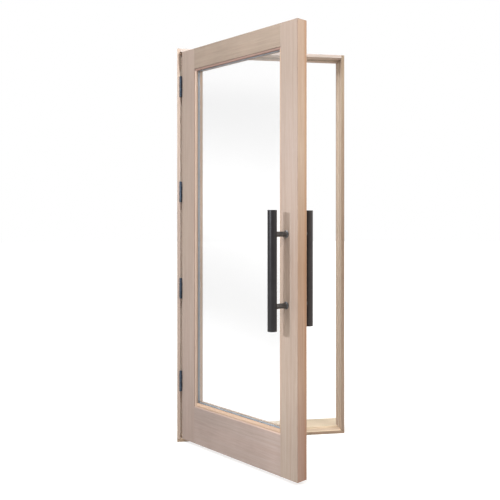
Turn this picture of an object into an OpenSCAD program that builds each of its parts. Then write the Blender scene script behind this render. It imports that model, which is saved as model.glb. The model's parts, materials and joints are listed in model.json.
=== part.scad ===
// Hinged glass door leaf in its own rebated wood frame.
// The origin is on the floor, at the middle of the frame's footprint.
// X runs along the frame to the strike jamb, Y to the back, Z up.
// The leaf is drawn shut and then turned about its hinge pins.

/* [Leaf] */
// Width of the leaf
leaf_w = 1036; // [800:1:1100]
// Height of the leaf
leaf_h = 2438; // [2000:1:2600]
// Thickness of the leaf
leaf_t = 70; // [64:1:74]
// Face width of each stile
stile_w = 130; // [120:1:150]
// Face height of the top rail
top_rail_h = 127; // [110:1:160]
// Face height of the bottom rail
bottom_rail_h = 222; // [180:1:280]
// Angle that the leaf stands open
open_angle = 55; // [0:1:150]

/* [Frame] */
// Depth of the jambs, front to back
jamb_depth = 108; // [96:1:140]
// Thickness of the jambs beside the leaf
jamb_lip = 20; // [18:1:25]
// How far the stops stand out from the rebate
stop_rise = 13; // [11:1:16]
// Running gap beside and above the leaf
leaf_gap = 3; // [2:0.5:5]
// Height of the leaf's bottom edge above the floor
leaf_lift = 23; // [22:1:30]
// Height of the sill's front lip
sill_lip_h = 19; // [16:1:20]
// Height of the sill's tread
sill_tread_h = 31; // [30:1:36]
// Depth of the sill, front to back
sill_depth = 246; // [180:1:320]

/* [Glazing] */
// Thickness of each pane
pane_t = 5; // [4:1:6]
// Gap between the two panes
pane_gap = 11; // [10:1:12]
// Distance from the leaf's front face to the front pane
pane_inset = 19; // [16:1:20]
// Sight width of the side and top beads
bead_w = 12; // [10:1:16]
// How far the front beads lie behind the leaf's front face
front_set_back = 5; // [3:0.5:6]
// How far the back beads lie in front of the leaf's back face
back_set_back = 11; // [5:0.5:14]
// Rise of the splay along the front of the bottom rail
splay_rise = 8; // [5:1:12]
// Height of the bottom front bead where it meets the glass
front_sill_bead_h = 19; // [18:1:24]
// Height of the bottom back bead where it meets the glass
back_sill_bead_h = 17; // [12:1:24]

/* [Hinges] */
// Height of each hinge
hinge_h = 127; // [100:1:140]
// Radius of the hinge knuckles
knuckle_r = 8; // [7:0.5:9]
// Distance of the pins in front of the leaf's face
pin_offset = 9.5; // [9.5:0.5:12]
// Radius of the hinge pins
pin_r = 4; // [3:0.5:4.5]

/* [Pulls] */
// Length of each pull bar
pull_len = 635; // [500:1:760]
// Diameter of each pull bar
pull_d = 50; // [44:1:54]
// Distance between the two posts of a pull
post_spacing = 380; // [300:1:420]
// Distance from the leaf's face to the bar's axis
pull_reach = 100; // [85:1:115]
// Distance from the lock edge to the posts
pull_backset = 86; // [65:1:90]
// Height of the pulls' middle above the floor
pull_z = 1137; // [950:1:1250]

/* [Hidden] */
$fn = 48;
eps = 0.01;

// Seals on the stops, and their clearance to the shut leaf
seal_w = 7;
seal_t = 3.5;
seal_bulb_r = 1.75;
seal_clear = 0.5;

// Frame, worked out from the leaf
frame_w = leaf_w + 2 * leaf_gap + 2 * jamb_lip;
frame_h = leaf_lift + leaf_h + leaf_gap + jamb_lip;
side_x = frame_w / 2;
rebate_x = side_x - jamb_lip;
stop_x = rebate_x - stop_rise;
front_y = -jamb_depth / 2;
back_y = jamb_depth / 2;
stop_y = front_y + leaf_t + seal_t + seal_clear;
head_z = frame_h - jamb_lip;
sill_round = 6;
tread_round = 3;
frame_screw_y = [-36, 0, 36];

// Leaf when shut
leaf_x0 = -rebate_x + leaf_gap;
leaf_x1 = leaf_x0 + leaf_w;
leaf_y1 = front_y + leaf_t;
leaf_z1 = leaf_lift + leaf_h;
pin_x = -rebate_x + leaf_gap / 2;
pin_y = front_y - pin_offset;

// Glazed opening and the glass in it
open_x0 = leaf_x0 + stile_w;
open_x1 = leaf_x1 - stile_w;
splay_z0 = leaf_lift + bottom_rail_h;
open_z0 = splay_z0 + splay_rise;
glass_step = 10;
glass_z0 = open_z0 + glass_step;
open_z1 = leaf_z1 - top_rail_h;
open_w = open_x1 - open_x0;
glass_clear = 4;
glass_y = front_y + pane_inset;
glass_t = 2 * pane_t + pane_gap;
bead_chamfer = 3;
front_sill_fall = 12;
back_sill_fall = 4;
edge_seal_w = 3;
spacer_w = 6;
block_len = 100;
block_places = [0.25, 0.75];
// Where a front or back bead starts in Y, and where it ends
front_bead_y = [front_y + front_set_back, glass_y];
back_bead_y = [glass_y + glass_t, leaf_y1 - back_set_back];

// Dowels
dowel_r = 8;
dowel_half = 60;
top_dowels = [35, 92];
bottom_dowels = [35, 87, 139, 189];

// Hinges
hinge_z = [387, 970, 1577, 2241];
plate_t = 3.2;
plate_w = 50;
knuckles = 5;
knuckle_gap = 0.3;
knuckle_h = (hinge_h - (knuckles - 1) * knuckle_gap) / knuckles;
pin_clear = 0.05;
pin_head_r = 7.5;
pin_head_h = 3.5;

// Screws
screw_r = 2.5;
screw_head_r = 5;
screw_head_h = 2.8;
jamb_screw_len = 17;
leaf_screw_len = 32;
frame_screw_len = 60;
// Places of the screws in a hinge plate: depths from its front edge, and their spacing in height
plate_screw_y = [18, 36];
plate_screw_gap = 30;

// Pulls
tube_wall = 2.5;
cap_t = 4;
post_r = 14;
foot_r = 20.5;
foot_h = 6;
flare_h = 22;
bolt_r = 4;
bolt_hole_r = 5;
bolt_grip = 26;
tenon_r = 7;
tenon_past = 2;
pull_x = leaf_x1 - pull_backset;
pull_y = front_y - pull_reach;
post_z = [pull_z - post_spacing / 2, pull_z + post_spacing / 2];

// Box given by its lowest and highest corners
module span_box(a, b) translate(a) cube([for (i = [0:2]) b[i] - a[i]]);

// Turns what is drawn on the shut leaf to the angle it stands at
module on_leaf() translate([pin_x, pin_y, 0]) rotate([0, 0, -open_angle])
    translate([-pin_x, -pin_y, 0]) children();

// Extrudes an outline drawn in Y and Z along X
module along_x(x0, x1) translate([x0, 0, 0]) rotate([90, 0, 90]) linear_extrude(x1 - x0) children();

// The sliver that rounds the outer corner of an outline at (0, 0) in the first quadrant
module corner_off(r) difference() {
    translate([-1, -1]) square(r + 1);
    translate([r, r]) circle(r);
}

// Countersunk wood screw with its head's face at the origin, driven along -Z
module wood_screw(len) {
    translate([0, 0, -screw_head_h]) cylinder(h = screw_head_h, r1 = screw_r, r2 = screw_head_r, $fn = 32);
    translate([0, 0, -len]) cylinder(h = len - screw_head_h + eps, r = screw_r, $fn = 24);
}

// ---- Frame ----

// Screws that hold the jambs to the head and the sill
module frame_screw_set() {
    for (side = [-1, 1], y = frame_screw_y) {
        translate([side * side_x, y, head_z + jamb_lip / 2]) rotate([0, side * 90, 0])
            wood_screw(frame_screw_len);
        translate([side * (side_x - jamb_lip / 2), y, 0]) rotate([180, 0, 0])
            wood_screw(frame_screw_len);
    }
}

module frame_screws() color("silver") frame_screw_set();

// One jamb's section, with its outer face on x = -side_x
module jamb_blank() {
    span_box([-side_x, front_y, sill_lip_h], [-rebate_x, back_y, frame_h]);
    span_box([-rebate_x - eps, stop_y, sill_tread_h], [-stop_x, back_y, head_z]);
}

module hinge_jamb() color("burlywood") difference() {
    jamb_blank();
    for (z = hinge_z) jamb_mortise(z);
    jamb_screw_set();
    frame_screw_set();
}

module strike_jamb() color("burlywood") difference() {
    mirror([1, 0, 0]) jamb_blank();
    frame_screw_set();
}

module head_jamb() color("burlywood") difference() {
    union() {
        span_box([-rebate_x, front_y, head_z], [rebate_x, back_y, frame_h]);
        span_box([-stop_x, stop_y, head_z - stop_rise], [stop_x, back_y, head_z + eps]);
    }
    frame_screw_set();
}

// Sill with a low front lip and a raised tread that runs out behind the frame
module sill() color("wheat") difference() {
    along_x(-side_x, side_x) difference() {
        union() {
            translate([front_y, 0]) square([sill_depth, sill_lip_h]);
            translate([stop_y, 0]) square([front_y + sill_depth - stop_y, sill_tread_h]);
        }
        translate([front_y, sill_lip_h]) mirror([0, 1]) corner_off(sill_round);
        translate([stop_y, sill_tread_h]) mirror([0, 1]) corner_off(tread_round);
        translate([front_y + sill_depth, sill_tread_h]) rotate(180) corner_off(tread_round);
    }
    for (side = [-1, 1]) translate([side * (rebate_x + jamb_lip), 0, 0])
        span_box([-jamb_lip, front_y - 1, sill_lip_h], [jamb_lip, back_y, sill_tread_h + 1]);
    frame_screw_set();
}

// Seal section: a flat back on the stop and a round bulb towards the leaf
module seal_section() {
    square([seal_w, seal_t - seal_bulb_r]);
    translate([seal_bulb_r, seal_t - seal_bulb_r]) circle(seal_bulb_r);
    translate([seal_w - seal_bulb_r, seal_t - seal_bulb_r]) circle(seal_bulb_r);
    translate([seal_bulb_r, 0]) square([seal_w - 2 * seal_bulb_r, seal_t]);
}

module side_seal() translate([-rebate_x, stop_y, sill_lip_h]) mirror([0, 1, 0])
    linear_extrude(head_z - sill_lip_h) seal_section();

module hinge_side_seal() color("saddlebrown") side_seal();

module strike_side_seal() color("saddlebrown") mirror([1, 0, 0]) side_seal();

module head_seal() color("saddlebrown") along_x(-rebate_x + seal_w, rebate_x - seal_w)
    translate([stop_y, head_z]) rotate(-90) mirror([0, 1]) seal_section();

// ---- Hinges ----

// Lowest height of knuckle k on the hinge whose middle is at z
function knuckle_z(z, k) = z - hinge_h / 2 + k * (knuckle_h + knuckle_gap);

module jamb_mortise(z) span_box([-rebate_x - plate_t, front_y - 1, z - hinge_h / 2],
    [-rebate_x + 1, front_y + plate_w, z + hinge_h / 2]);

module leaf_mortise(z) span_box([leaf_x0 - 1, front_y - 1, z - hinge_h / 2],
    [leaf_x0 + plate_t, front_y + plate_w, z + hinge_h / 2]);

// Places of the four screws of one plate, as depth from the front face and height
function plate_screws(z) = [for (k = [0:3]) [plate_screw_y[k % 2], z + (k - 1.5) * plate_screw_gap]];

module jamb_screw_set() for (z = hinge_z, p = plate_screws(z))
    translate([-rebate_x, front_y + p[0], p[1]]) rotate([0, 90, 0]) wood_screw(jamb_screw_len);

module leaf_screw_set() for (z = hinge_z, p = plate_screws(z))
    translate([leaf_x0, front_y + p[0], p[1]]) rotate([0, -90, 0]) wood_screw(leaf_screw_len);

// Knuckles from first, every second one, with the tabs that join them to their plate
module knuckle_row(z, first, tab_x) for (k = [first:2:knuckles - 1]) translate([0, 0, knuckle_z(z, k)]) {
    translate([pin_x, pin_y, 0]) cylinder(h = knuckle_h, r = knuckle_r);
    span_box([tab_x, pin_y, 0], [tab_x + plate_t, front_y + eps, knuckle_h]);
}

module pin_bore(z, r) translate([pin_x, pin_y, z - hinge_h / 2 - 1]) cylinder(h = hinge_h + 2, r = r);

module jamb_plate(z) color("dimgray") difference() {
    union() {
        span_box([-rebate_x - plate_t, front_y, z - hinge_h / 2],
            [-rebate_x, front_y + plate_w, z + hinge_h / 2]);
        knuckle_row(z, 0, -rebate_x - plate_t);
    }
    pin_bore(z, pin_r);
    jamb_screw_set();
}

module leaf_plate(z) color("dimgray") on_leaf() difference() {
    union() {
        span_box([leaf_x0, front_y, z - hinge_h / 2],
            [leaf_x0 + plate_t, front_y + plate_w, z + hinge_h / 2]);
        knuckle_row(z, 1, leaf_x0);
    }
    pin_bore(z, pin_r + pin_clear);
    leaf_screw_set();
}

module hinge_pin(z) color("dimgray") translate([pin_x, pin_y, z - hinge_h / 2]) {
    cylinder(h = hinge_h + eps, r = pin_r);
    translate([0, 0, hinge_h]) cylinder(h = pin_head_h, r = pin_head_r);
}

module jamb_plate_screws() color("dimgray") jamb_screw_set();

module leaf_plate_screws() color("dimgray") on_leaf() leaf_screw_set();

// ---- Leaf ----

// Dowels across both ends of the rails
module dowel_set() for (x = [open_x0, open_x1],
    z = concat([for (h = top_dowels) open_z1 + h], [for (h = bottom_dowels) leaf_lift + h]))
    translate([x - dowel_half, front_y + leaf_t / 2, z]) rotate([0, 90, 0])
        cylinder(h = 2 * dowel_half, r = dowel_r);

module rail_dowels() color("tan") on_leaf() dowel_set();

module hinge_stile() color("tan") on_leaf() difference() {
    span_box([leaf_x0, front_y, leaf_lift], [open_x0, leaf_y1, leaf_z1]);
    for (z = hinge_z) leaf_mortise(z);
    leaf_screw_set();
    dowel_set();
}

module lock_stile() color("tan") on_leaf() difference() {
    span_box([open_x1, front_y, leaf_lift], [leaf_x1, leaf_y1, leaf_z1]);
    for (z = post_z) translate([pull_x, front_y - 1, z]) rotate([-90, 0, 0])
        cylinder(h = leaf_t + 2, r = bolt_hole_r);
    dowel_set();
}

module top_rail() color("tan") on_leaf() difference() {
    span_box([open_x0, front_y, open_z1], [open_x1, leaf_y1, leaf_z1]);
    dowel_set();
}

// Bottom rail: a splay along its front, a ledge for the front bead and a step up under the glass
module bottom_rail() color("tan") on_leaf() difference() {
    along_x(open_x0, open_x1) polygon([[front_y, leaf_lift], [leaf_y1, leaf_lift], [leaf_y1, glass_z0],
        [glass_y, glass_z0], [glass_y, open_z0], [front_bead_y[0], open_z0], [front_y, splay_z0]]);
    dowel_set();
}

// ---- Glass ----

// Flat rectangle inset from the glass's edges and drawn upright at y
module glass_plate(y, t, inset) span_box([open_x0 + glass_clear + inset, y, glass_z0 + glass_clear + inset],
    [open_x1 - glass_clear - inset, y + t, open_z1 - glass_clear - inset]);

module glass_ring(outer, inner) difference() {
    glass_plate(glass_y + pane_t, pane_gap, outer);
    glass_plate(glass_y + pane_t - 1, pane_gap + 2, inner);
}

module front_pane() color("lightcyan", 0.4) on_leaf() glass_plate(glass_y, pane_t, 0);

module back_pane() color("lightcyan", 0.4) on_leaf() glass_plate(glass_y + pane_t + pane_gap, pane_t, 0);

module pane_edge_seal() color("black") on_leaf() glass_ring(0, edge_seal_w);

module spacer_bar() color("silver") on_leaf() glass_ring(edge_seal_w, edge_seal_w + spacer_w);

module setting_blocks() color("black") on_leaf() for (f = block_places)
    translate([open_x0 + f * open_w - block_len / 2, glass_y, glass_z0])
        cube([block_len, glass_t, glass_clear]);

// ---- Glazing beads ----

// Bead section in a corner: w across the opening, t deep, its exposed arris cut off
module bead_section(w, t) polygon([[0, 0], [w - bead_chamfer, 0], [w, bead_chamfer], [w, t], [0, t]]);

// Bottom bead section, h high at the glass and lower by fall at its exposed face, so that water runs off
module sill_bead_section(t, h, fall) polygon([[0, 0], [t, 0], [t, h], [0, h - fall]]);

// Side bead that stands on a ledge at height z0
module side_bead(z0, t) translate([0, 0, z0]) linear_extrude(open_z1 - bead_w - z0) bead_section(bead_w, t);

module front_side_bead() translate([open_x0, front_bead_y[0], 0])
    side_bead(open_z0, front_bead_y[1] - front_bead_y[0]);

module back_side_bead() translate([open_x0, back_bead_y[1], 0]) mirror([0, 1, 0])
    side_bead(glass_z0, back_bead_y[1] - back_bead_y[0]);

// Moves what is drawn at the hinge side of the opening to its lock side
module to_lock_side() translate([open_x0 + open_x1, 0, 0]) mirror([1, 0, 0]) children();

module front_hinge_bead() color("peru") on_leaf() front_side_bead();

module front_lock_bead() color("peru") on_leaf() to_lock_side() front_side_bead();

module back_hinge_bead() color("peru") on_leaf() back_side_bead();

module back_lock_bead() color("peru") on_leaf() to_lock_side() back_side_bead();

module front_top_bead() color("peru") on_leaf() along_x(open_x0, open_x1)
    translate([front_bead_y[0], open_z1]) rotate(-90) bead_section(bead_w, front_bead_y[1] - front_bead_y[0]);

module back_top_bead() color("peru") on_leaf() along_x(open_x0, open_x1)
    translate([back_bead_y[1], open_z1]) mirror([1, 0]) rotate(-90)
        bead_section(bead_w, back_bead_y[1] - back_bead_y[0]);

module front_bottom_bead() color("peru") on_leaf() along_x(open_x0 + bead_w, open_x1 - bead_w)
    translate([front_bead_y[0], open_z0])
        sill_bead_section(front_bead_y[1] - front_bead_y[0], front_sill_bead_h, front_sill_fall);

module back_bottom_bead() color("peru") on_leaf() along_x(open_x0 + bead_w, open_x1 - bead_w)
    translate([back_bead_y[1], glass_z0]) mirror([1, 0])
        sill_bead_section(back_bead_y[1] - back_bead_y[0], back_sill_bead_h, back_sill_fall);

// ---- Pulls ----

// Everything about a pull is drawn in front of the leaf, and the back one is its mirror image
module on_back() translate([0, front_y + leaf_y1, 0]) mirror([0, 1, 0]) children();

module bar_cylinder(r, len) translate([pull_x, pull_y, pull_z - len / 2]) cylinder(h = len, r = r);

module pull_tube() difference() {
    bar_cylinder(pull_d / 2, pull_len);
    bar_cylinder(pull_d / 2 - tube_wall, pull_len + 2);
    for (z = post_z) translate([pull_x, pull_y, z]) rotate([-90, 0, 0]) cylinder(h = pull_d, r = tenon_r);
}

// Cap with a spigot that fills the end of the tube
module end_cap() difference() {
    bar_cylinder(pull_d / 2 - tube_wall, pull_len);
    bar_cylinder(pull_d / 2, pull_len - 2 * cap_t);
}

// Post with a flared foot on the leaf, a tenon in the tube and a bore for the through bolt
module post(z) translate([pull_x, front_y, z]) rotate([90, 0, 0]) difference() {
    union() {
        difference() {
            union() {
                cylinder(h = foot_h, r = foot_r);
                translate([0, 0, foot_h]) cylinder(h = flare_h, r1 = foot_r, r2 = post_r);
                cylinder(h = pull_reach, r = post_r);
            }
            translate([0, -pull_d, pull_reach]) rotate([-90, 0, 0]) cylinder(h = 2 * pull_d, r = pull_d / 2);
        }
        cylinder(h = pull_reach - pull_d / 2 + tube_wall + tenon_past, r = tenon_r);
    }
    translate([0, 0, -1]) cylinder(h = bolt_grip + 1, r = bolt_r);
}

module front_pull_tube() color("dimgray") on_leaf() pull_tube();

module back_pull_tube() color("dimgray") on_leaf() on_back() pull_tube();

module pull_end_caps() color("dimgray") on_leaf() {
    end_cap();
    on_back() end_cap();
}

module front_upper_post() color("dimgray") on_leaf() post(post_z[1]);

module front_lower_post() color("dimgray") on_leaf() post(post_z[0]);

module back_upper_post() color("dimgray") on_leaf() on_back() post(post_z[1]);

module back_lower_post() color("dimgray") on_leaf() on_back() post(post_z[0]);

module pull_bolts() color("silver") on_leaf() for (z = post_z)
    translate([pull_x, front_y - bolt_grip, z]) rotate([-90, 0, 0])
        cylinder(h = leaf_t + 2 * bolt_grip, r = bolt_r);

hinge_jamb();
strike_jamb();
head_jamb();
sill();
hinge_side_seal();
strike_side_seal();
head_seal();
frame_screws();
jamb_plate(hinge_z[3]);  // hinge_1_jamb_plate
jamb_plate(hinge_z[2]);  // hinge_2_jamb_plate
jamb_plate(hinge_z[1]);  // hinge_3_jamb_plate
jamb_plate(hinge_z[0]);  // hinge_4_jamb_plate
hinge_pin(hinge_z[3]);  // hinge_1_pin
hinge_pin(hinge_z[2]);  // hinge_2_pin
hinge_pin(hinge_z[1]);  // hinge_3_pin
hinge_pin(hinge_z[0]);  // hinge_4_pin
jamb_plate_screws();
hinge_stile();
lock_stile();
top_rail();
bottom_rail();
rail_dowels();
front_pane();
back_pane();
spacer_bar();
pane_edge_seal();
setting_blocks();
front_hinge_bead();
front_lock_bead();
front_top_bead();
front_bottom_bead();
back_hinge_bead();
back_lock_bead();
back_top_bead();
back_bottom_bead();
leaf_plate(hinge_z[3]);  // hinge_1_leaf_plate
leaf_plate(hinge_z[2]);  // hinge_2_leaf_plate
leaf_plate(hinge_z[1]);  // hinge_3_leaf_plate
leaf_plate(hinge_z[0]);  // hinge_4_leaf_plate
leaf_plate_screws();
front_pull_tube();
back_pull_tube();
pull_end_caps();
front_upper_post();
front_lower_post();
back_upper_post();
back_lower_post();
pull_bolts();
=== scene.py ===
import json
import math

import bmesh
import bpy
from mathutils import Matrix, Vector


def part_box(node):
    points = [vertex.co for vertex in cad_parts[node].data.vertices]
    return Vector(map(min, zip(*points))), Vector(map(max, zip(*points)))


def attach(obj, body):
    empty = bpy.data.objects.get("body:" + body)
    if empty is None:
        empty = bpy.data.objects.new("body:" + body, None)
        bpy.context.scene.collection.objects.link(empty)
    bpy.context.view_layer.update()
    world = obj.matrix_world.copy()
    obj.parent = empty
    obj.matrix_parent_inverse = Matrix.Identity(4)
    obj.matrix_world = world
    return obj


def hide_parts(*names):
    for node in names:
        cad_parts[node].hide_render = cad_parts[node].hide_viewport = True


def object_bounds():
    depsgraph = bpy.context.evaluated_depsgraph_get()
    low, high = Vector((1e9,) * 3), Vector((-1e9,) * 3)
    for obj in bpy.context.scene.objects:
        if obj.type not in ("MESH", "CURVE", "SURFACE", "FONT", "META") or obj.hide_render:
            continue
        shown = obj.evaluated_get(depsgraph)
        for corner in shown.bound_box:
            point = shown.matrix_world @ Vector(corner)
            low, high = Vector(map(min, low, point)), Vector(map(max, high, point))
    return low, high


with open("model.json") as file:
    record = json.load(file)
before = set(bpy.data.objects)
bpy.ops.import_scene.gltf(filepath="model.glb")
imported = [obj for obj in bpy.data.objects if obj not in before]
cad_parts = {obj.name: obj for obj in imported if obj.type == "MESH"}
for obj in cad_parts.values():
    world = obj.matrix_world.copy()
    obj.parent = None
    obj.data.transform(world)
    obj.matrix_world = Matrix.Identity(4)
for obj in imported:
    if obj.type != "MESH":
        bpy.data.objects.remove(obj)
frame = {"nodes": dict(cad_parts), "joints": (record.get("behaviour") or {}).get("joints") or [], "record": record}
cadLow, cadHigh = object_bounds()
nodes = frame["nodes"]
scene = bpy.context.scene
mm = 0.001

# The leaf stands open at rest, so its pieces are shaped and grained as they lie when it is shut
hinge = frame["joints"][0]
pin = Vector(hinge["pos_m"])
shutAngle = math.radians(hinge["range_deg"][0]) * hinge["axis"][2]
toShut = Matrix.Translation(pin) @ Matrix.Rotation(shutAngle, 4, "Z") @ Matrix.Translation(-pin)
toOpen = toShut.inverted()
bodyOf = {name: body for body, names in frame["record"]["behaviour"]["bodies"].items() for name in names}


def onLeaf(name):
    return bodyOf[name] == "leaf"


def spanOf(points):  # the lowest and highest corner of a set of points
    return (Vector([min(p[i] for p in points) for i in range(3)]),
            Vector([max(p[i] for p in points) for i in range(3)]))


def shutBox(name):  # a node's corners with the leaf shut
    turn = toShut if onLeaf(name) else Matrix.Identity(4)
    return spanOf([turn @ v.co for v in nodes[name].data.vertices])


def linear(code):  # sRGB hex to the linear colour that a node takes
    channels = [int(code[i:i + 2], 16) / 255 for i in (0, 2, 4)]
    return [c / 12.92 if c <= 0.04045 else ((c + 0.055) / 1.055) ** 2.4 for c in channels] + [1.0]


# Adds a node. Its inputs are named or come in order, and a ramp's stops are (place, colour) pairs
def addNode(tree, kind, inputs=(), out=None, stops=(), **settings):
    node = tree.nodes.new("ShaderNode" + kind)
    for name, value in settings.items():
        setattr(node, name, value)
    for i, (place, tone) in enumerate(stops):
        stop = node.color_ramp.elements[i] if i < 2 else node.color_ramp.elements.new(place)
        stop.position, stop.color = place, tone
    for socket, value in (inputs if isinstance(inputs, dict) else dict(enumerate(inputs))).items():
        if isinstance(value, bpy.types.NodeSocket):
            tree.links.new(value, node.inputs[socket])
        else:
            node.inputs[socket].default_value = value
    return node if out is None else node.outputs[out]


def newMaterial(name):
    material = bpy.data.materials.new(name)
    material.use_nodes = True
    material.node_tree.nodes.clear()
    return material, material.node_tree


def grey(level):
    return (level, level, level, 1.0)


def shutPlace(tree, place):  # the same place with the leaf turned shut
    return addNode(tree, "Mapping", {
        "Vector": place, "Location": pin - Matrix.Rotation(shutAngle, 3, "Z") @ pin,
        "Rotation": (0, 0, shutAngle)}, out="Vector")


woodFigure = {
    "ringGap": 6.0,          # mm between growth rings, two or three times the real gap so that they show
    "ribbon": 11.0,          # mm across the soft ribbons of tone that run with the grain
    "fibre": 2.6,            # mm across one bundle of fibres, drawn coarser than the real one
    "pore": 1.0,             # mm across a pore, drawn about three times its real width
    "blush": 150.0,          # mm across the patches where the wood turns pinker
    "blotch": 170.0,         # mm across the lighter and darker patches on the rails
    "stretch": 0.03,         # how much slower the figure changes along the grain than across it
    "strand": (0.93, 1.03),  # how dark and how bright the fibres are
    "pit": 0.88,             # how dark a pore is
    "patchy": (0.93, 1.07),  # how dark and how bright the blotches are
    "rough": (0.74, 0.62),   # roughness between the fibres and on them
    "fuzz": 0.12,            # mm of relief that sanding leaves
    "faceDeep": 2.5,         # mm behind a face where its own painted shading ends
    "shadingTop": 2.5,         # metres above the floor where the painted shading ends
}


# Sanded straight-grained softwood without finish: matt and pale, with fine darker lines along the grain
def bareWood(name, box, look, leaf):
    material, tree = newMaterial(name)
    low, high = box
    middle = (low + high) / 2
    across, through = [d * mm for d in look["pith"]]  # from the board's middle to the heart of the tree
    place = addNode(tree, "TexCoord", out="Object")
    if leaf:
        place = shutPlace(tree, place)
    length, depth, height = addNode(tree, "SeparateXYZ", [place]).outputs
    if look["grain"] == "x":  # lays the board's length along Z
        heart = (middle.z + across, -middle.y - through, look["seed"])
        turn = (0, -math.pi / 2, 0)
    else:
        heart = (-middle.x - across, -middle.y - through, look["seed"])
        turn = (0, 0, 0)
    place = addNode(tree, "Mapping", {"Vector": place, "Rotation": turn, "Location": heart}, out="Vector")
    run = addNode(tree, "Mapping", {"Vector": place, "Scale": (1, 1, woodFigure["stretch"])}, out="Vector")
    rings = addNode(tree, "TexWave", {
        "Vector": run, "Scale": 2 * math.pi / 20 / (woodFigure["ringGap"] * mm), "Distortion": look["waver"],
        "Detail": 2.0, "Detail Scale": 0.35, "Detail Roughness": 0.6},
        out="Fac", wave_type="RINGS", rings_direction="Z", wave_profile="SAW")
    ribbons, fibres, pores, blush = [
        addNode(tree, "TexNoise", {"Vector": run, "Scale": 1 / (woodFigure[key] * mm), "Detail": detail,
                                   "Roughness": 0.58}, out="Fac")
        for key, detail in (("ribbon", 4.0), ("fibre", 2.0), ("pore", 1.0), ("blush", 2.0))]
    pale, dark = linear(look["pale"]), linear(look["dark"])
    ground = addNode(tree, "ValToRGB", [ribbons], out="Color", stops=[(0.3, dark), (0.66, pale)])
    for amount, tone in (
            (addNode(tree, "MapRange", [blush, 0.4, 0.65, 0.0, 0.5], out=0), linear(look["blush"])),
            (addNode(tree, "MapRange", [rings, 0.55, 1.0, 0.0, look["ring"]], out=0), dark)):
        ground = addNode(tree, "Mix", {0: amount, 6: ground, 7: tone}, out=2, data_type="RGBA")
    dim, bright = woodFigure["strand"]
    strand = addNode(tree, "ValToRGB", [fibres], out="Color", stops=[(0.3, grey(dim)), (0.7, grey(bright))])
    pit = addNode(tree, "ValToRGB", [pores], out="Color",
                  stops=[(0.62, grey(1.0)), (0.74, grey(woodFigure["pit"]))])
    tints = [strand, pit]
    if "shadeAndLayers" in look:  # the tone changes in steps with depth: painted shade and painted light that set a front face or the sill's lip apart from the faces behind it, and on the leaf a glued layer
        thick = (high.y - low.y) / mm
        inward = addNode(tree, "MapRange", [depth, low.y, high.y, 0.0, 1.0], out=0)
        shadeAndLayers = addNode(tree, "ValToRGB", [inward],
                         stops=[(at / thick, linear(tone)) for at, tone in look["shadeAndLayers"]])
        shadeAndLayers.color_ramp.interpolation = "CONSTANT"
        tints.append(shadeAndLayers.outputs["Color"])
    if "faceShading" in look:  # painted light and shade up the board, one way on its face and another way behind it
        top = woodFigure["shadingTop"]
        up = addNode(tree, "MapRange", [height, 0.0, top, 0.0, 1.0], out=0)
        face, core = [addNode(tree, "ValToRGB", [up], out="Color",
                              stops=[(at / top, linear(tone)) for at, tone in look[key]])
                      if key in look else grey(1.0) for key in ("faceShading", "coreShading")]
        behind = addNode(tree, "Math", [depth, low.y + woodFigure["faceDeep"] * mm], out=0,
                         operation="GREATER_THAN")
        tints.append(addNode(tree, "Mix", {0: behind, 6: face, 7: core}, out=2, data_type="RGBA"))
    if "endShading" in look:  # a rail is painted brighter from one end to the other, as painted light, with broad blotches of tone
        blotch = addNode(tree, "TexNoise", {"Vector": place, "Scale": 1 / (woodFigure["blotch"] * mm)},
                         out="Fac")
        tints += [addNode(tree, "MapRange", [length, low.x, high.x, *look["endShading"]], out=0),
                  addNode(tree, "MapRange", [blotch, 0.3, 0.7, *woodFigure["patchy"]], out=0)]
    for tint in tints:
        ground = addNode(tree, "Mix", {0: 1.0, 6: ground, 7: tint}, out=2, data_type="RGBA",
                         blend_type="MULTIPLY")
    relief = addNode(tree, "Math", [fibres, pit], out=0, operation="ADD")
    shader = addNode(tree, "BsdfPrincipled", {
        "Base Color": ground, "IOR": 1.46, "Specular IOR Level": 0.3,
        "Roughness": addNode(tree, "MapRange", [fibres, 0.3, 0.7, *woodFigure["rough"]], out=0),
        "Normal": addNode(tree, "Bump", {"Height": relief, "Strength": 0.3,
                                         "Distance": woodFigure["fuzz"] * mm}, out="Normal")}, out="BSDF")
    addNode(tree, "OutputMaterial", {"Surface": shader})
    return material


# Turns a finished bmesh into a piece that rides on a body in place of the nodes it stands for
def keepPiece(bm, name, material, stands, body, smoothUnder=35):
    mesh = bpy.data.meshes.new(name)
    for face in bm.faces:
        face.smooth = True
    bm.to_mesh(mesh)
    bm.free()
    mesh.set_sharp_from_angle(angle=math.radians(smoothUnder))
    mesh.materials.append(material)
    piece = bpy.data.objects.new(name, mesh)
    scene.collection.objects.link(piece)
    flat = piece.modifiers.new("evenFaces", "WEIGHTED_NORMAL")
    flat.keep_sharp = True
    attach(piece, body)
    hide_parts(*stands)


# A welded copy of a node's mesh, with the leaf turned shut and flat faces made whole
def copyShut(name):
    bm = bmesh.new()
    bm.from_mesh(nodes[name].data)
    bmesh.ops.remove_doubles(bm, verts=bm.verts, dist=0.002 * mm)
    if onLeaf(name):
        bmesh.ops.transform(bm, matrix=toShut, verts=bm.verts)
    bmesh.ops.dissolve_limit(bm, angle_limit=math.radians(0.3), verts=bm.verts, edges=bm.edges,
                             use_dissolve_boundaries=False, delimit=set())
    return bm


def inside(point, low, high, slack):
    return all(low[i] - slack <= point[i] <= high[i] + slack for i in range(3))


def backOpen(bm, name):
    if onLeaf(name):
        bmesh.ops.transform(bm, matrix=toOpen, verts=bm.verts)


def ease(bm, edges, offset, segments=2):  # rounds edges, offset in mm
    bmesh.ops.bevel(bm, geom=edges, offset=offset * mm, offset_type="OFFSET", affect="EDGES",
                    segments=segments, profile=0.5, material=-1, clamp_overlap=False)


# The leaf's front face is painted darker, as painted shade; the warmer band near the back is a glued layer
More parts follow.
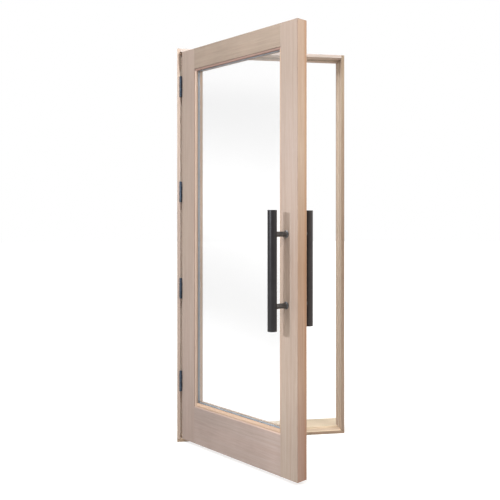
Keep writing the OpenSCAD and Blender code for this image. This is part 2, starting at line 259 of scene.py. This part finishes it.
leafShadeAndLayers = [(0, "e8e8e8"), (2.5, "ffffff"), (53, "f7e9dc"), (67.5, "ffffff")]
boards = {
    # grain: the axis it runs along; pith: mm across the face and through the board to the heart of the tree
    # pale, dark, blush: tones of the bare wood; meets: the boards whose joints stay sharp
    # endShading: how bright each end is painted, as painted light; shadeAndLayers: (mm from the front, tint),
    # painted shade and light by depth, and glued layers
    # faceShading, coreShading: (metres above the floor, tint) of painted light and shade, on the face and behind
    # it
    "hinge_stile": dict(
        grain="z", pith=(-420, 60), waver=5.0, ring=0.12, seed=0.3,
        pale="ae9f92", dark="a08e82", blush="ac968b", shadeAndLayers=leafShadeAndLayers,
        faceShading=[(0.1, "f2f0f3"), (0.54, "fefdff"), (1.31, "f9f9f7"), (2.2, "e7e7e6")],
        meets=["top_rail", "bottom_rail"]),
    "lock_stile": dict(
        grain="z", pith=(380, 90), waver=6.0, ring=0.12, seed=3.1,
        pale="bfaea0", dark="b09b8c", blush="bba496", shadeAndLayers=leafShadeAndLayers,
        faceShading=[(0.18, "ececeb"), (0.55, "fffefd"), (1.14, "fffbf9"), (1.77, "f2f3f7"), (2.25, "e0e0e0")],
        coreShading=[(0.18, "e6d3ce"), (0.55, "faeae0"), (1.14, "eddccc"), (1.77, "fffcf5"), (2.25, "f4eee7")],
        meets=["top_rail", "bottom_rail"]),
    "top_rail": dict(
        grain="x", pith=(-300, 70), waver=5.0, ring=0.12, seed=5.7,
        pale="9b8c7d", dark="8e7d6e", blush="978578", endShading=(0.93, 1.07), shadeAndLayers=leafShadeAndLayers,
        meets=["hinge_stile", "lock_stile"]),
    "bottom_rail": dict(
        grain="x", pith=(-340, 50), waver=6.0, ring=0.12, seed=8.2,
        pale="b4a39a", dark="a9968c", blush="b39c92", endShading=(0.92, 1.1),
        # the face is painted darker than the splay above it, which faces up: painted light and shade
        shadeAndLayers=[(0, "dadada"), (1, "fffaf5")], meets=["hinge_stile", "lock_stile"]),
    # On the jambs and the head the front face is painted darker than the faces behind it, as painted shade
    "hinge_jamb": dict(
        grain="z", pith=(-90, -260), waver=4.0, ring=0.12, seed=11.0,
        pale="d5c0b3", dark="c5ae9e", blush="d1b5ab", shadeAndLayers=[(0, "e7e7e7"), (2.5, "ffffff")],
        faceShading=[(0.15, "e4e3df"), (1.24, "eaebee"), (2.38, "fdfffd")], meets=["head_jamb", "sill"]),
    "strike_jamb": dict(
        grain="z", pith=(120, -280), waver=4.0, ring=0.12, seed=13.3,
        pale="bba896", dark="aa9382", blush="b79f8d", shadeAndLayers=[(0, "dcd8d4"), (2, "ffffff")],
        faceShading=[(0.3, "fefeff"), (1.26, "e1ddda"), (2.26, "f6faf8")], meets=["head_jamb", "sill"]),
    "head_jamb": dict(
        grain="x", pith=(150, -250), waver=4.0, ring=0.1, seed=15.9,
        pale="d6c5bd", dark="c8b5a7", blush="d4beb3", shadeAndLayers=[(0, "e6ebee"), (2, "fff8f0")],
        meets=["hinge_jamb", "strike_jamb"]),
    "sill": dict(
        grain="x", pith=(-260, 120), waver=5.0, ring=0.1, seed=18.4,
        pale="e1d3bc", dark="d5c1a8", blush="e0cbb3",
        # painted shade: the front face, and the back of the lip in front of the riser, are painted darker than the
        # tread
        shadeAndLayers=[(0, "b2a69f"), (3, "ffffff"), (20, "e9e2e2"), (69, "ffffff")],
        meets=["hinge_jamb", "strike_jamb"]),
}
boardEase = 1.6  # mm taken off each long arris by hand plane and sandpaper
longEdge = 150   # mm, an edge that runs along a board or a bead, not across its end


def easedBoard(name):
    look = boards[name]
    bm = copyShut(name)
    neighbours = [shutBox(other) for other in look["meets"]]
    low, high = shutBox(name)
    for corners in neighbours:  # cuts the long edges where a neighbour begins, so that joints stay tight
        for corner in corners:
            for axis in range(3):
                if low[axis] + mm < corner[axis] < high[axis] - mm:
                    normal = Vector([float(i == axis) for i in range(3)])
                    bmesh.ops.bisect_plane(bm, geom=bm.verts[:] + bm.edges[:] + bm.faces[:],
                                           plane_co=corner, plane_no=normal, dist=0.001 * mm)
    arrises = []
    for edge in bm.edges:
        if len(edge.link_faces) != 2 or not edge.is_convex or edge.calc_face_angle() < math.radians(50):
            continue
        middle = (edge.verts[0].co + edge.verts[1].co) / 2
        outer = sum(any(abs(middle[i] - side[i]) < 0.01 * mm for side in (low, high)) for i in range(3))
        if any(inside(middle, a, b, 0.1 * mm) for a, b in neighbours):
            continue
        if outer >= 2 or edge.calc_length() > longEdge * mm:
            arrises.append(edge)
    ease(bm, arrises, boardEase)
    material = bareWood("bare softwood, " + name.replace("_", " "), (low, high), look, onLeaf(name))
    backOpen(bm, name)
    keepPiece(bm, "eased_" + name, material, [name], bodyOf[name])


for name in boards:
    easedBoard(name)
print("boards made")

beadLook = {
    "ease": 0.6,  # mm
    "waver": 3.0, "ring": 0.12, "firstSeed": 21,
    "tones": {    # pale, dark and blush of each strip, which differ as if cut from different boards; the top strips, which face down, are painted darker as painted shade
        "front_hinge": ("b6a091", "a88f7e", "b19888"),
        "front_top": ("9b8076", "8f7266", "97796f"),
        "front_bottom": ("b49b87", "a68b75", "af937e"),
        "back_hinge": ("bba28c", "ad917a", "b69984"),
        "back_top": ("a58b77", "987c67", "a1836f"),
        "others": ("b29780", "a4876f", "ad8f78"),
    },
    "runs": {     # the axis the grain runs along, and mm to the heart of the tree
        "hinge": ("z", (-90, 60)), "lock": ("z", (80, 70)),
        "top": ("x", (-70, 90)), "bottom": ("x", (60, 80)),
    },
}
beads = [(side, where) for side in ("front", "back") for where in beadLook["runs"]]
for k, (side, where) in enumerate(beads):
    name = f"{side}_{where}_bead"
    bm = copyShut(name)
    ease(bm, [e for e in bm.edges if e.is_convex and e.calc_length() > longEdge * mm], beadLook["ease"])
    grain, pith = beadLook["runs"][where]
    pale, dark, blush = beadLook["tones"].get(f"{side}_{where}", beadLook["tones"]["others"])
    look = dict(beadLook, grain=grain, pith=pith, seed=1.7 * (beadLook["firstSeed"] + k),
                pale=pale, dark=dark, blush=blush)
    material = bareWood("bare softwood bead, " + name.replace("_", " "), shutBox(name), look, True)
    backOpen(bm, name)
    keepPiece(bm, "eased_" + name, material, [name], "leaf")
print("beads made")


# Thin coat on brushed metal: a soft sheen, with the faint lines of the brushing under it
def coatedMetal(name, look):
    material, tree = newMaterial(name)
    place = addNode(tree, "TexCoord", out="Object")
    brush = addNode(tree, "Mapping", {"Vector": place, "Scale": (1, 1, look["drawn"])}, out="Vector")
    lines, mottle = [
        addNode(tree, "TexNoise", {"Vector": where, "Scale": 1 / (look[key] * mm), "Detail": 3.0,
                                   "Roughness": rough}, out="Fac")
        for key, where, rough in (("line", brush, 0.6), ("patch", place, 0.5))]
    shader = addNode(tree, "BsdfPrincipled", {
        "Base Color": addNode(tree, "ValToRGB", [mottle], out="Color",
                              stops=[(0.35, linear(look["tone"])), (0.7, linear(look["worn"]))]),
        "Roughness": addNode(tree, "MapRange", [lines, 0.3, 0.7, look["rough"] - 0.05, look["rough"] + 0.07],
                             out=0),
        "Normal": addNode(tree, "Bump", {"Height": lines, "Strength": 0.12, "Distance": 0.05 * mm},
                          out="Normal"),
        "Metallic": look["metal"], "Specular IOR Level": look["specular"]}, out="BSDF")
    addNode(tree, "OutputMaterial", {"Surface": shader})
    return material


# A solid turned about Z from (radius, height) pairs in mm, its sharper rims eased
def turned(profile, steps, rim, sharper=40):
    bm = bmesh.new()
    points = [bm.verts.new((radius * mm, 0, height * mm)) for radius, height in profile]
    chain = [bm.edges.new(pair) for pair in zip(points, points[1:])]
    bmesh.ops.spin(bm, geom=points + chain, cent=(0, 0, 0), axis=(0, 0, 1), dvec=(0, 0, 0),
                   angle=2 * math.pi, steps=steps, use_merge=True, use_duplicate=False)
    bmesh.ops.remove_doubles(bm, verts=bm.verts, dist=0.001 * mm)
    bmesh.ops.recalc_face_normals(bm, faces=bm.faces)
    if rim:
        rims = [e for e in bm.edges if e.is_convex and len(e.link_faces) == 2
                and e.calc_face_angle() > math.radians(sharper)
                and abs(e.verts[0].co.z - e.verts[1].co.z) < 0.001 * mm]
        ease(bm, rims, rim, 3)
    return bm


def addCopy(whole, part, place):  # adds a moved copy of one bmesh to another
    mesh = bpy.data.meshes.new("part")
    part.to_mesh(mesh)
    mesh.transform(place)
    whole.from_mesh(mesh)
    bpy.data.meshes.remove(mesh)


def islands(bm):  # the separate solids in a bmesh, as lists of vertices
    left, found = set(bm.verts), []
    while left:
        newest = [left.pop()]
        island = list(newest)
        while newest:
            near = {e.other_vert(v) for v in newest for e in v.link_edges} & left
            left -= near
            newest = list(near)
            island += newest
        found.append(island)
    return found


hingeCoat = coatedMetal("dark bronze coating on steel, hinge", {  # bluish black with a satin sheen
    "tone": "2f3843", "worn": "404c5c", "rough": 0.36, "metal": 0.45, "specular": 0.5,
    "line": 0.8, "drawn": 0.05, "patch": 26})
hingeLook = {"ease": 0.35, "knuckle": 8.0, "flange": 10.0, "shortest": 20.0,  # mm, plates and knuckles
             "shank": 4.0, "head": 3.5, "dome": 2.3, "steps": 40}             # mm, pin
for k in range(1, 5):
    for part in ("jamb_plate", "leaf_plate"):
        name = f"hinge_{k}_{part}"
        bm = copyShut(name)
        rims, outline = [], []  # of the knuckles, and of the flange
        for edge in bm.edges:
            if len(edge.link_faces) != 2 or not edge.is_convex or edge.calc_face_angle() < math.radians(60):
                continue
            ends = [v.co for v in edge.verts]
            reach = [Vector((p.x - pin.x, p.y - pin.y, 0)).length / mm for p in ends]
            onKnuckle = all(abs(r - hingeLook["knuckle"]) < 0.1 for r in reach)
            if onKnuckle and abs(ends[0].z - ends[1].z) < 0.001 * mm:
                rims.append(edge)
            elif (min(ends[0].y, ends[1].y) > pin.y + hingeLook["flange"] * mm
                    and edge.calc_length() > hingeLook["shortest"] * mm):
                outline.append(edge)
        ease(bm, rims + outline, hingeLook["ease"])
        backOpen(bm, name)
        keepPiece(bm, "eased_" + name, hingeCoat, [name], bodyOf[name])
    name = f"hinge_{k}_pin"
    low, high = shutBox(name)
    length, headRadius = (high.z - low.z) / mm, (high.x - low.x) / 2 / mm
    shank, under, dome = hingeLook["shank"], length - hingeLook["head"], hingeLook["dome"]
    crown = [(headRadius * math.cos(a), length - dome + dome * math.sin(a))
             for a in [math.radians(10 * i) for i in range(9)]]
    bm = turned([(0, 0), (shank, 0), (shank, under), (headRadius, under), *crown, (0, length)],
                hingeLook["steps"], 0)
    bmesh.ops.translate(bm, vec=Vector(((low.x + high.x) / 2, (low.y + high.y) / 2, low.z)), verts=bm.verts)
    keepPiece(bm, "domed_" + name, hingeCoat, [name], bodyOf[name])
print("hinges made")

screwLook = {"head": 5.0, "headHigh": 2.8, "shank": 2.5, "tip": 3.0,
             "inset": 1.6, "arm": 3.0, "slot": 0.75, "deep": 1.5, "steps": 32}  # mm, and the cross recess


# Countersunk screw, head up at the origin, with a cross recess
def crossScrew(length):
    head, high, shank, tip = [screwLook[key] for key in ("head", "headHigh", "shank", "tip")]
    bm = turned([(0, 0), (head, 0), (shank, -high), (shank, -length + tip), (0, -length)],
                screwLook["steps"], 0)
    top = [f for f in bm.faces if all(abs(v.co.z) < 0.001 * mm for v in f.verts)]
    face = bmesh.ops.dissolve_faces(bm, faces=top, use_verts=True)["region"][0]
    bmesh.ops.inset_region(bm, faces=[face], thickness=screwLook["inset"] * mm, use_even_offset=True)
    for vert in face.verts:
        c, s = [abs(x) / vert.co.xy.length + 1e-6 for x in vert.co.xy]
        arm, slot = screwLook["arm"], screwLook["slot"]
        reach = max(min(arm / c, slot / s), min(arm / s, slot / c)) * mm
        vert.co = Vector((*(vert.co.xy.normalized() * reach), 0))
    bed = bmesh.ops.extrude_discrete_faces(bm, faces=[face])["faces"][0]
    bmesh.ops.translate(bm, vec=(0, 0, -screwLook["deep"] * mm), verts=bed.verts)
    bmesh.ops.scale(bm, vec=(0.7, 0.7, 1), verts=bed.verts)
    bmesh.ops.recalc_face_normals(bm, faces=bm.faces)
    return bm


zincCoat = coatedMetal("zinc plated steel", {  # bright grey with a fine spangle
    "tone": "b9b9bb", "worn": "a3a4a8", "rough": 0.32, "metal": 1.0, "specular": 0.5,
    "line": 1.2, "drawn": 1.0, "patch": 4})
screwCoats = {"jamb_plate_screws": hingeCoat, "leaf_plate_screws": hingeCoat, "frame_screws": zincCoat}
for name, coat in screwCoats.items():
    cad = copyShut(name)
    whole = bmesh.new()
    for island in islands(cad):
        low, high = spanOf([v.co for v in island])
        axis = max(range(3), key=lambda i: high[i] - low[i])
        middle = (low + high) / 2
        wide = {}  # how far each end reaches from the screw's axis
        for end in (low[axis], high[axis]):
            rim = [v.co for v in island if abs(v.co[axis] - end) < 0.01 * mm]
            wide[end] = max(math.dist([p[i] for i in range(3) if i != axis],
                                      [middle[i] for i in range(3) if i != axis]) for p in rim)
        headEnd = max(wide, key=wide.get)
        outward = Vector([0.0, 0.0, 0.0])
        outward[axis] = 1.0 if headEnd > middle[axis] else -1.0
        place = middle.copy()
        place[axis] = headEnd
        part = crossScrew((high - low)[axis] / mm)
        turn = outward.to_track_quat("Z", "X").to_matrix().to_4x4()
        addCopy(whole, part, Matrix.Translation(place) @ turn)
        part.free()
    cad.free()
    backOpen(whole, name)
    keepPiece(whole, "cross_" + name, coat, [name], bodyOf[name])
print("screws made")

pullCoat = {"rough": 0.34, "metal": 0.3, "specular": 0.5, "line": 1.0, "drawn": 0.02, "patch": 60}
pullCoats = {  # near black, with one soft bright line down each bar
    "front": coatedMetal("dark bronze coating on steel, front pull",
                         dict(pullCoat, tone="201e20", worn="282628")),
    # The back pull is painted lighter than the front one, as painted light for what falls on it
    "back": coatedMetal("dark bronze coating on steel, back pull, painted lighter",
                        dict(pullCoat, tone="342f2f", worn="3c3736")),
}
postCoat = coatedMetal("burnished dark bronze on steel, post", {  # rubbed brighter than the bars
    "tone": "525355", "worn": "6e6f70", "rough": 0.28, "metal": 0.85, "specular": 0.5,
    "line": 1.0, "drawn": 0.5, "patch": 20})
pullLook = {  # mm
    "wall": 2.5, "tubeRim": 0.5, "capRim": 0.7, "capClear": 0.05, "steps": 64,
    "footEdge": 2.4, "footEase": 0.5, "flareTop": 28.0, "postRadius": 14.0, "postClear": 0.1,
}
for side in ("front", "back"):
    name = side + "_pull_tube"
    low, high = shutBox(name)
    radius, length = (high.x - low.x) / 2 / mm, (high.z - low.z) / mm
    middle = (low + high) / 2
    bore = radius - pullLook["wall"]
    bm = turned([(radius, 0), (radius, length), (bore, length), (bore, 0), (radius, 0)],
                pullLook["steps"], pullLook["tubeRim"])
    bmesh.ops.translate(bm, vec=Vector((middle.x, middle.y, low.z)), verts=bm.verts)
    backOpen(bm, name)
    keepPiece(bm, "spun_" + name, pullCoats[side], [name], "leaf")

caps = copyShut("pull_end_caps")
whole = bmesh.new()
for island in islands(caps):
    low, high = spanOf([v.co for v in island])
    radius, thick = (high.x - low.x) / 2 / mm - pullLook["capClear"], (high.z - low.z) / mm
    part = turned([(0, 0), (radius, 0), (radius, thick), (0, thick)], pullLook["steps"], pullLook["capRim"])
    addCopy(whole, part, Matrix.Translation(Vector(((low.x + high.x) / 2, (low.y + high.y) / 2, low.z))))
    part.free()
caps.free()
backOpen(whole, "pull_end_caps")
name = "pull_end_caps"
keepPiece(whole, "spun_" + name, pullCoats["front"], [name], "leaf")

for side in ("front", "back"):
    tubeLow, tubeHigh = shutBox(side + "_pull_tube")
    tubeRadius = (tubeHigh.y - tubeLow.y) / 2 / mm
    for which in ("upper", "lower"):
        name = f"{side}_{which}_post"
        low, high = shutBox(name)
        middle = (low + high) / 2
        foot, edge, top = (high.x - low.x) / 2 / mm, pullLook["footEdge"], pullLook["flareTop"]
        eased = foot - pullLook["footEase"]
        faceY = high.y if side == "front" else low.y  # the leaf's face, where the foot stands
        reach = abs((tubeLow.y + tubeHigh.y) / 2 - faceY) / mm
        inner = pullLook["postRadius"]
        meets = reach - math.sqrt(tubeRadius ** 2 - inner ** 2) - pullLook["postClear"]  # ends at the tube
        flare = [(eased - (eased - inner) * math.sin(a), top - (top - edge) * math.cos(a))
                 for a in [math.radians(7.5 * i) for i in range(13)]]
        bm = turned([(0, 0), (foot, 0), (foot, edge - pullLook["footEase"]), *flare,
                     (inner, meets), (0, meets)], pullLook["steps"], 0)
        towards = Vector((0, -1, 0)) if side == "front" else Vector((0, 1, 0))
        turn = towards.to_track_quat("Z", "X").to_matrix().to_4x4()
        bmesh.ops.transform(bm, verts=bm.verts,
                            matrix=Matrix.Translation(Vector((middle.x, faceY, middle.z))) @ turn)
        backOpen(bm, name)
        keepPiece(bm, "flared_" + name, postCoat, [name], "leaf")
print("pulls made")

glassLook = {
    # metres above the floor, and how much the painted reflections grey the glass there
    "paintedReflections": [(0.65, 1.0), (1.08, 0.93), (1.62, 1.0), (2.2, 0.925), (2.42, 0.965)],
    "top": 2.5,                # metres above the floor where the painted reflections end
    "slant": 0.2,              # how fast the painted reflections fall away from the hinges
    "sway": 0.1, "wave": 0.5,  # metres by which they waver, and over which
    "letsBy": "f9fafa",        # tint of the light that a pane lets by
}


# Clear float glass with two broad slanting bands of painted reflection that grey it very faintly
def floatGlass(name, look):
    material, tree = newMaterial(name)
    place = addNode(tree, "TexCoord", out="Object")
    waver = addNode(tree, "TexNoise", {"Vector": place, "Scale": 1 / look["wave"], "Detail": 1.0}, out="Fac")
    axes = addNode(tree, "SeparateXYZ", [place]).outputs
    level = addNode(tree, "Math", [axes["Y"], -look["slant"], axes["Z"]], out=0, operation="MULTIPLY_ADD")
    level = addNode(tree, "Math", [waver, look["sway"], level], out=0, operation="MULTIPLY_ADD")
    level = addNode(tree, "MapRange", [level, 0.0, look["top"], 0.0, 1.0], out=0)
    paintedReflections = addNode(tree, "ValToRGB", [level],
                    stops=[(high / look["top"], grey(clear)) for high, clear in look["paintedReflections"]])
    paintedReflections.color_ramp.interpolation = "EASE"
    glass = addNode(tree, "BsdfPrincipled", {
        "Base Color": paintedReflections.outputs["Color"], "Roughness": 0.0, "IOR": 1.5, "Transmission Weight": 1.0},
        out="BSDF")
    plain = addNode(tree, "BsdfTransparent", {"Color": linear(look["letsBy"])}, out="BSDF")
    rays = addNode(tree, "LightPath").outputs
    straight = addNode(tree, "Math", [rays["Is Shadow Ray"], rays["Is Diffuse Ray"]], out=0,
                       operation="MAXIMUM")  # light goes straight through
    mixed = addNode(tree, "MixShader", [straight, glass, plain], out=0)
    addNode(tree, "OutputMaterial", {"Surface": mixed})
    return material


# Dull moulded rubber, sealant or turned wood, with a soft mottle and a fine grain
def dull(name, look):
    material, tree = newMaterial(name)
    place = addNode(tree, "TexCoord", out="Object")
    run = addNode(tree, "Mapping", {"Vector": place, "Scale": look.get("run", (1, 1, 1))}, out="Vector")
    mottle, grain = [
        addNode(tree, "TexNoise", {"Vector": run, "Scale": 1 / (look[key] * mm), "Detail": 3.0}, out="Fac")
        for key in ("patch", "grain")]
    shader = addNode(tree, "BsdfPrincipled", {
        "Base Color": addNode(tree, "ValToRGB", [mottle], out="Color",
                              stops=[(0.35, linear(look["tone"])), (0.65, linear(look["other"]))]),
        "Roughness": addNode(tree, "MapRange", [grain, 0.3, 0.7, look["rough"] - 0.06, look["rough"] + 0.06],
                             out=0),
        "Normal": addNode(tree, "Bump", {"Height": grain, "Strength": 0.25, "Distance": 0.1 * mm},
                          out="Normal")}, out="BSDF")
    addNode(tree, "OutputMaterial", {"Surface": shader})
    return material


# Satin aluminium bar with the small breathing slots of a spacer, drawn twice their real size and painted darker as
# painted shade in the holes
def slottedSpacer(name, look):
    material, tree = newMaterial(name)
    low, high = shutBox("spacer_bar")
    place = addNode(tree, "TexCoord", out="Object")
    axes = addNode(tree, "SeparateXYZ", [shutPlace(tree, place)]).outputs
    along = addNode(tree, "Math", [axes["X"], axes["Z"]], out=0, operation="ADD")
    along = addNode(tree, "Math", [along, look["pitch"] * mm], out=0, operation="PINGPONG")
    slot = addNode(tree, "Math", [along, look["slot"] * mm], out=0, operation="LESS_THAN")
    off = addNode(tree, "Math", [axes["Y"], (low.y + high.y) / 2], out=0, operation="SUBTRACT")
    off = addNode(tree, "Math", [off], out=0, operation="ABSOLUTE")
    row = addNode(tree, "Math", [off, look["row"] * mm, look["high"] * mm], out=0, operation="COMPARE")
    slotShade = addNode(tree, "Math", [slot, row], out=0, operation="MULTIPLY")
    sheen = addNode(tree, "TexNoise", {"Vector": place, "Scale": 1 / (look["patch"] * mm), "Detail": 3.0},
                    out="Fac")
    metal = addNode(tree, "ValToRGB", [sheen], out="Color",
                    stops=[(0.35, linear(look["tone"])), (0.65, linear(look["other"]))])
    shader = addNode(tree, "BsdfPrincipled", {
        "Base Color": addNode(tree, "Mix", {0: slotShade, 6: metal, 7: linear(look["slotShade"])}, out=2,
                              data_type="RGBA"),
        "Metallic": look["metal"],
        "Roughness": addNode(tree, "MapRange", [sheen, 0.3, 0.7, *look["rough"]], out=0)}, out="BSDF")
    addNode(tree, "OutputMaterial", {"Surface": shader})
    return material


sealLook = {"tone": "c6b8a8", "other": "bcae9d", "rough": 0.7, "patch": 14, "grain": 1.5, "run": (1, 1, 0.2)}
# The hinge side seal is the same rubber painted paler, as painted light in the shaded hinge gap
hingeSealLitLook = dict(sealLook, tone="f2eadf", other="e9e0d4")
edgeSealLook = {"tone": "2a2c30", "other": "34363a", "rough": 0.6, "patch": 8, "grain": 2}
blockLook = {"tone": "1a1a1b", "other": "252527", "rough": 0.65, "patch": 8, "grain": 1.5}
dowelLook = {"tone": "c3a37a", "other": "b08e66", "rough": 0.6, "patch": 7, "grain": 1.2, "run": (0.1, 1, 1)}
spacerLook = {"tone": "919ba6", "other": "86909a", "slotShade": "828c96", "metal": 0.4, "rough": (0.34, 0.44),
              "patch": 9, "pitch": 8.0, "slot": 2.0, "row": 2.5, "high": 0.6}  # mm along and across the bar
paneGlass = floatGlass("clear float glass", glassLook)
seal = dull("beige weather seal rubber", sealLook)
finishes = {
    "front_pane": paneGlass, "back_pane": paneGlass,
    "strike_side_seal": seal, "head_seal": seal,
    "hinge_side_seal": dull("beige weather seal rubber, painted pale in the hinge gap", hingeSealLitLook),
    "pane_edge_seal": dull("black butyl edge sealant", edgeSealLook),
    "setting_blocks": dull("black setting block rubber", blockLook),
    "spacer_bar": slottedSpacer("satin aluminium spacer", spacerLook),
    "rail_dowels": dull("fluted beech dowel", dowelLook),
    "pull_bolts": zincCoat,
}
for name, material in finishes.items():
    nodes[name].data.materials[0] = material
print("glass, seals and hidden parts given materials")

cameraLook = {
    "place": (23.2, -4401.8, 1404.5),  # mm from the frame's front corner at the hinge side
    "turn": 9.71,                      # degrees to the right
    "lens": 49.48,
    "shift": (-0.097, -0.061),
}
corner = Vector((*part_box("hinge_jamb")[0].xy, cadLow.z))
camera = bpy.data.objects.new("camera", bpy.data.cameras.new("camera"))
scene.collection.objects.link(camera)
camera.location = corner + Vector(cameraLook["place"]) * mm
camera.rotation_euler = (math.radians(90), 0, -math.radians(cameraLook["turn"]))
camera.data.lens = cameraLook["lens"]
camera.data.sensor_width = 36
camera.data.shift_x, camera.data.shift_y = cameraLook["shift"]
camera.data.clip_start, camera.data.clip_end = 0.05, 200
scene.camera = camera

# How bright the white surroundings are to each kind of ray. As light and in mirrors some sides are brighter
studio = {
    "seen": 1.0, "behindGlass": 1.1, "ambientTint": (1, 0.965, 0.9, 1),
    "sides": {  # the way to a side, how far a ray turns to it, and the brightness away from it and there
        "ambient": ((-0.85, 0.1, 0.5), (-0.3, 1.0, 0.1, 0.75)),
        "mirroredLeft": ((-0.75, -0.65, 0.25), (-0.3, 1.0, 0.05, 0.45)),
        "mirroredAbove": ((0, 0, 1), (0.45, 0.85, 0.0, 2.0)),
        "mirroredRight": ((0.97, 0.05, 0.0), (0.2, 1.0, 0.0, 1.6)),
    },
}
floorLook = {
    "radius": 40.0,                    # metres
    "tone": "c3c2c0", "other": "bfbebd", "patch": 1 / 3,
    "near": 1.2, "glow": 0.66,         # metres from the middle, and how bright the floor looks there
    "far": 4.0, "farGlow": 1.0,
    "mirrored": 0.3, "bounce": 0.12,   # how bright it is in mirrors and as light
}


# White floor that looks lit from below, so that only a faint shadow lies under the part
def litFloor(name, look):
    material, tree = newMaterial(name)
    place = addNode(tree, "TexCoord", out="Object")
    mottle = addNode(tree, "TexNoise", {"Vector": place, "Scale": 1 / look["patch"]}, out="Fac")
    colour = addNode(tree, "ValToRGB", [mottle], out="Color",
                     stops=[(0.3, linear(look["tone"])), (0.7, linear(look["other"]))])
    rays = addNode(tree, "LightPath").outputs
    away = addNode(tree, "VectorMath", [place], out="Value", operation="LENGTH")
    level = addNode(tree, "MapRange", [away, look["near"], look["far"], look["glow"], look["farGlow"]],
                    out=0, interpolation_type="SMOOTHSTEP")
    seen = addNode(tree, "Math", [rays["Is Camera Ray"], rays["Is Transmission Ray"]], out=0,
                   operation="MAXIMUM")
    glow = addNode(tree, "Math", [seen, level], out=0, operation="MULTIPLY")
    for kind, amount in (("Is Glossy Ray", look["mirrored"]), ("Is Diffuse Ray", look["bounce"])):
        glow = addNode(tree, "Math", [rays[kind], amount, glow], out=0, operation="MULTIPLY_ADD")
    lit = addNode(tree, "BsdfPrincipled", {
        "Base Color": colour, "Roughness": 0.9, "Specular IOR Level": 0.0,
        "Emission Color": grey(1.0), "Emission Strength": glow}, out="BSDF")
    through = addNode(tree, "Emission", {"Color": grey(1.0), "Strength": studio["behindGlass"]}, out=0)
    mixed = addNode(tree, "MixShader", [rays["Is Transmission Ray"], lit, through], out=0)
    addNode(tree, "OutputMaterial", {"Surface": mixed})
    return material


bm = bmesh.new()
bmesh.ops.create_circle(bm, cap_ends=True, cap_tris=False, segments=96, radius=floorLook["radius"])
floor = bpy.data.objects.new("floor", bpy.data.meshes.new("floor"))
bm.to_mesh(floor.data)
bm.free()
floor.location.z = cadLow.z
floor.data.materials.append(litFloor("white studio floor", floorLook))
scene.collection.objects.link(floor)

world = bpy.data.worlds.new("studio")
world.use_nodes = True
scene.world = world
sky = world.node_tree
sky.nodes.clear()
rays = addNode(sky, "LightPath").outputs
way = addNode(sky, "TexCoord", out="Generated")
ambient, *mirrors = [
    addNode(sky, "MapRange", [
        addNode(sky, "VectorMath", [way, Vector(side).normalized()], out="Value", operation="DOT_PRODUCT"),
        *span], out=0) for side, span in studio["sides"].values()]
mirrored = mirrors[0]
for extra in mirrors[1:]:
    mirrored = addNode(sky, "Math", [mirrored, extra], out=0, operation="ADD")
strength = studio["seen"]
for kind, level in (("Is Diffuse Ray", ambient), ("Is Glossy Ray", mirrored),
                    ("Is Transmission Ray", studio["behindGlass"])):  # the last one that fits holds
    strength = addNode(sky, "Mix", {0: rays[kind], 2: strength, 3: level}, out=0)
tone = addNode(sky, "Mix", {0: rays["Is Diffuse Ray"], 6: grey(1.0), 7: studio["ambientTint"]}, out=2,
               data_type="RGBA")
addNode(sky, "OutputWorld", {"Surface": addNode(sky, "Background", [tone, strength], out=0)})

lamps = {  # place, aim and size in metres from the middle of the frame's foot, power in watts
    "key": dict(place=(-3.4, -3.1, 2.1), aim=(0.0, -0.75, 1.2), size=0.35, power=100,
                tint=(0.94, 1, 1.08), mirrored=True),
    "overhead": dict(place=(-1.5, -1.2, 5.4), aim=(-0.3, -0.6, 0), size=2.6, power=200,
                     tint=(1, 1, 1), mirrored=True),
    "fill": dict(place=(2.5, -2.7, 3.1), aim=(0.1, -0.8, 1.7), size=1.4, power=80,
                 tint=(1, 0.965, 0.92), mirrored=False),
    "front": dict(place=(-0.5, -3.5, 3.4), aim=(-0.3, -0.2, 1.5), size=0.5, power=46,
                  tint=(1, 0.99, 0.97), mirrored=False),
}
for name, lamp in lamps.items():
    light = bpy.data.lights.new(name, "AREA")
    light.shape = "DISK"
    light.size = lamp["size"]
    light.energy = lamp["power"]
    light.color = lamp["tint"]
    holder = bpy.data.objects.new(name, light)
    scene.collection.objects.link(holder)
    holder.location = Vector(lamp["place"])
    holder.visible_glossy = lamp["mirrored"]
    aim = Vector(lamp["aim"]) - holder.location
    holder.rotation_euler = aim.to_track_quat("-Z", "Y").to_euler()
print("camera, floor and lights set")

scene.view_settings.view_transform = "Standard"
scene.view_settings.look = "None"
